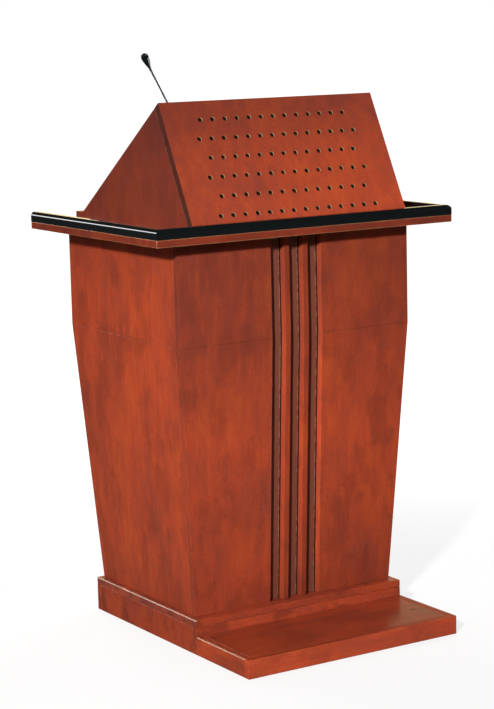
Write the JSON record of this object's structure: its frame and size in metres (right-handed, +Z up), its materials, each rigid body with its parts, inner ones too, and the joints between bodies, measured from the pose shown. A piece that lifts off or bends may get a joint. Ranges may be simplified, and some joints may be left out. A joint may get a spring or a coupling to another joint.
{
  "type": "lectern podium",
  "caption": "Wooden lectern with tapered fluted body, front step, rear cupboard, overhanging top with black rail, perforated speaker desk and gooseneck microphone.",
  "frame": {"origin": "centre of the bounding box's footprint, on the floor", "axes": "+Z up, -Y towards the audience, +Y towards the speaker, +X to the right as the audience sees it"},
  "size_m": [0.768, 0.721, 1.3033],
  "materials": {
    "wood": "satin lacquered mahogany veneer, upright grain",
    "rail": "glossy black",
    "steel": "brushed",
    "nickel": "satin nickel plate",
    "black_metal": "black semi-gloss paint",
    "mic_shell": "gloss black",
    "mic_mesh": "fine woven mesh",
    "cloth": "black acoustic cloth",
    "cone": "matt black pulp cone",
    "black_plastic": "fine moulded texture"
  },
  "bodies": {
    "podium": {"acoustic_cloth": "cloth", "amplifier_case": "black_metal", "book_shelf": "wood", "cable_grommet": "black_plastic", "cupboard_shelf": "wood", "desk_front_panel": "wood", "desk_ledge": "wood", "desk_left_cheek": "wood", "desk_right_cheek": "wood", "flute_back": "wood", "flute_ridge_left": "wood", "flute_ridge_right": "wood", "ledge_edging": "rail", "left_hinge_frame_leaf": "steel", "left_hinge_pin": "steel", "left_speaker_cone": "cone", "left_speaker_frame": "black_metal", "lower_left_front": "wood", "lower_left_side": "wood", "lower_right_front": "wood", "lower_right_side": "wood", "magnetic_catch": "black_plastic", "mic_flange": "black_metal", "plinth_deck": "wood", "plinth_front_board": "wood", "plinth_left_board": "wood", "plinth_rear_board": "wood", "plinth_right_board": "wood", "rail_front": "rail", "rail_left": "rail", "rail_right": "rail", "reading_panel": "wood", "rear_left_stile": "wood", "rear_right_stile": "wood", "right_hinge_frame_leaf": "steel", "right_hinge_pin": "steel", "right_speaker_cone": "cone", "right_speaker_frame": "black_metal", "shelf_cleat_left": "wood", "shelf_cleat_right": "wood", "step_front_board": "wood", "step_left_board": "wood", "step_right_board": "wood", "step_tread": "wood", "table_board": "wood", "upper_left_front": "wood", "upper_left_side": "wood", "upper_right_front": "wood", "upper_right_side": "wood"},
    "left_door": {"left_door": "wood", "left_door_knob": "nickel", "left_hinge_door_leaf": "steel"},
    "right_door": {"right_door": "wood", "right_door_knob": "nickel", "right_hinge_door_leaf": "steel"},
    "volume_knob": {"volume_knob": "black_plastic"},
    "mic_neck_base": {"mic_lower_neck": "black_metal"},
    "mic_neck": {"mic_stem": "black_metal"},
    "mic_head": {"mic_head": "mic_shell", "mic_grille": "mic_mesh"}
  },
  "joints": [
    {"name": "left_door_hinge", "type": "hinge", "parent": "podium", "child": "left_door", "pos_m": [-0.21525, 0.2978, 0.38], "axis": [0, 0, 1], "range_deg": [0, 105]},
    {"name": "right_door_hinge", "type": "hinge", "parent": "podium", "child": "right_door", "pos_m": [0.21525, 0.2978, 0.38], "axis": [0, 0, -1], "range_deg": [0, 105]},
    {"name": "volume_turn", "type": "hinge", "parent": "podium", "child": "volume_knob", "pos_m": [0.095, 0.25, 0.4353], "axis": [0, -1, 0], "range_deg": [0, 300]},
    {"name": "mic_side_bend", "type": "hinge", "parent": "podium", "child": "mic_neck_base", "pos_m": [-0.224, -0.01616, 1.18325], "axis": [0, 0.7133, -0.7009], "range_deg": [-35, 35]},
    {"name": "mic_tilt", "type": "hinge", "parent": "mic_neck_base", "child": "mic_neck", "pos_m": [-0.224, -0.00999, 1.18952], "axis": [1, 0, 0], "range_deg": [-30, 40]},
    {"name": "mic_head_tilt", "type": "hinge", "parent": "mic_neck", "child": "mic_head", "pos_m": [-0.224, 0.06851, 1.26941], "axis": [1, 0, 0], "range_deg": [-60, 60]}
  ]
}
